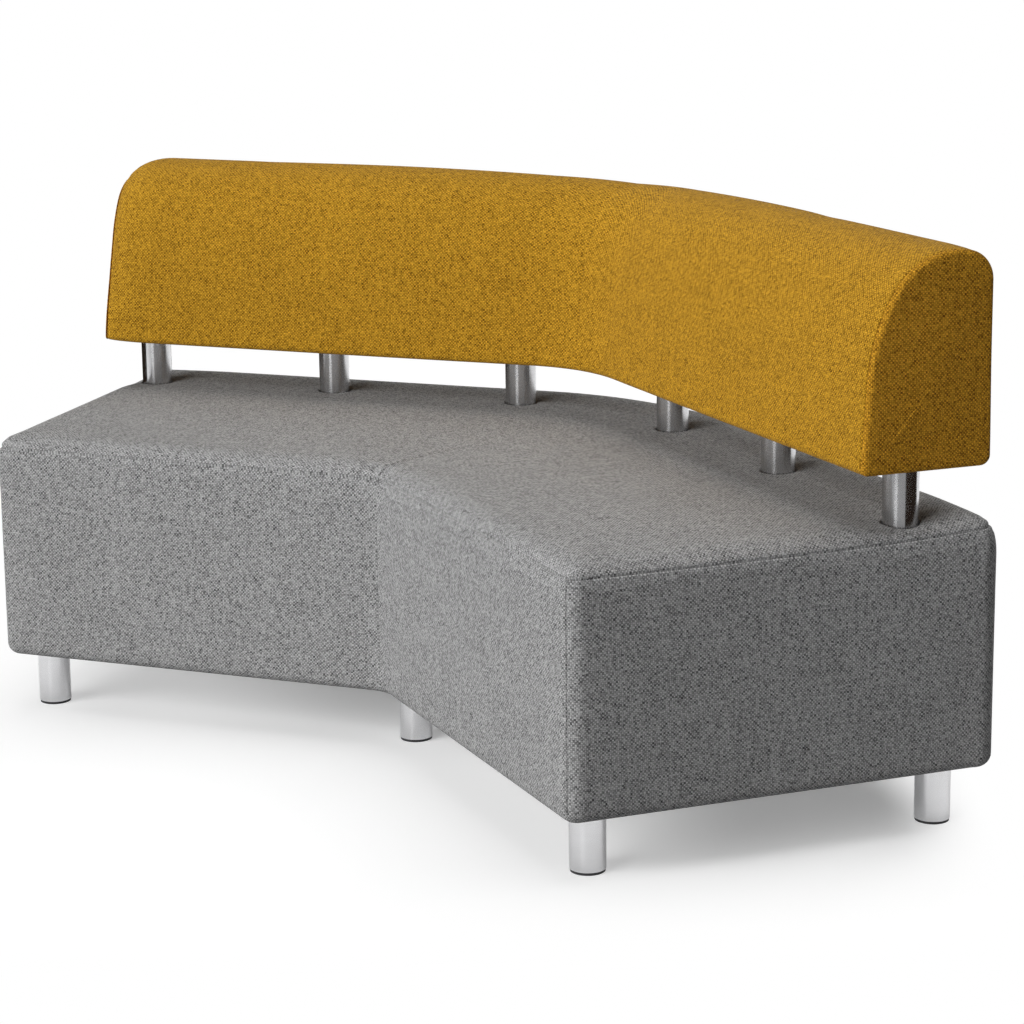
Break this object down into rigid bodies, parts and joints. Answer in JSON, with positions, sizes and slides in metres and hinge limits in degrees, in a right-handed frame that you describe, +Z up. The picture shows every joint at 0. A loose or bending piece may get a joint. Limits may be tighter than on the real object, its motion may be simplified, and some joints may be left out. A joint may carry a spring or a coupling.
{
  "type": "bent bench sofa",
  "caption": "Upholstered bench sofa whose two wings turn inwards, with a rounded backrest carried on chrome posts above the seat and chrome tube legs with levelling glides.",
  "frame": {"origin": "on the floor, under the middle of the sofa's outline", "axes": "+X along the sofa, to the right seen from the front; +Y from the front to the back; +Z up"},
  "size_m": [1.731, 0.8746, 0.803],
  "materials": {
    "seat_cloth": "grey melange upholstery weave",
    "back_cloth": "mustard upholstery weave",
    "foam": "cut polyurethane foam",
    "dust_cloth": "black spun-bonded lining",
    "satin_chrome": "satin chrome on steel tube",
    "black_plastic": "moulded black nylon",
    "insert_plastic": "moulded black nylon",
    "zinc_steel": "zinc plated",
    "plywood": "birch plywood, unfinished"
  },
  "bodies": {
    "sofa": {"back_board": "plywood", "back_cover_left": "back_cloth", "back_cover_right": "back_cloth", "back_end_cover_left": "back_cloth", "back_end_cover_right": "back_cloth", "back_foam_left": "foam", "back_foam_right": "foam", "back_spine": "plywood", "base_board": "plywood", "centre_rib": "plywood", "cross_rib_left": "plywood", "cross_rib_right": "plywood", "dust_cover": "dust_cloth", "end_foam_left": "foam", "end_foam_right": "foam", "end_rail_left": "plywood", "end_rail_right": "plywood", "front_foam_left": "foam", "front_foam_right": "foam", "front_rail_left": "plywood", "front_rail_right": "plywood", "glide_inserts": "insert_plastic", "leg_front_left": "satin_chrome", "leg_front_middle": "satin_chrome", "leg_front_right": "satin_chrome", "leg_rear_left": "satin_chrome", "leg_rear_middle": "satin_chrome", "leg_rear_right": "satin_chrome", "leg_tee_nuts": "zinc_steel", "post_left_inner": "satin_chrome", "post_left_middle": "satin_chrome", "post_left_outer": "satin_chrome", "post_right_inner": "satin_chrome", "post_right_middle": "satin_chrome", "post_right_outer": "satin_chrome", "rear_foam_left": "foam", "rear_foam_right": "foam", "rear_rail_left": "plywood", "rear_rail_right": "plywood", "seat_deck": "plywood", "seat_end_cover_left": "seat_cloth", "seat_end_cover_right": "seat_cloth", "seat_foam_left": "foam", "seat_foam_right": "foam", "seat_front_cover_left": "seat_cloth", "seat_front_cover_right": "seat_cloth", "seat_rear_cover_left": "seat_cloth", "seat_rear_cover_right": "seat_cloth", "seat_top_cover_left": "seat_cloth", "seat_top_cover_right": "seat_cloth", "tie_rod_nuts": "zinc_steel", "tie_rods": "zinc_steel"},
    "glide_front_left": {"glide_front_left": "black_plastic"},
    "glide_front_middle": {"glide_front_middle": "black_plastic"},
    "glide_front_right": {"glide_front_right": "black_plastic"},
    "glide_rear_left": {"glide_rear_left": "black_plastic"},
    "glide_rear_middle": {"glide_rear_middle": "black_plastic"},
    "glide_rear_right": {"glide_rear_right": "black_plastic"}
  },
  "joints": [
    {"name": "glide_front_left_travel", "type": "slide", "parent": "sofa", "child": "glide_front_left", "axis": [0, 0, -1], "range_m": [0, 0.01]},
    {"name": "glide_front_middle_travel", "type": "slide", "parent": "sofa", "child": "glide_front_middle", "axis": [0, 0, -1], "range_m": [0, 0.01]},
    {"name": "glide_front_right_travel", "type": "slide", "parent": "sofa", "child": "glide_front_right", "axis": [0, 0, -1], "range_m": [0, 0.01]},
    {"name": "glide_rear_left_travel", "type": "slide", "parent": "sofa", "child": "glide_rear_left", "axis": [0, 0, -1], "range_m": [0, 0.01]},
    {"name": "glide_rear_middle_travel", "type": "slide", "parent": "sofa", "child": "glide_rear_middle", "axis": [0, 0, -1], "range_m": [0, 0.01]},
    {"name": "glide_rear_right_travel", "type": "slide", "parent": "sofa", "child": "glide_rear_right", "axis": [0, 0, -1], "range_m": [0, 0.01]}
  ]
}
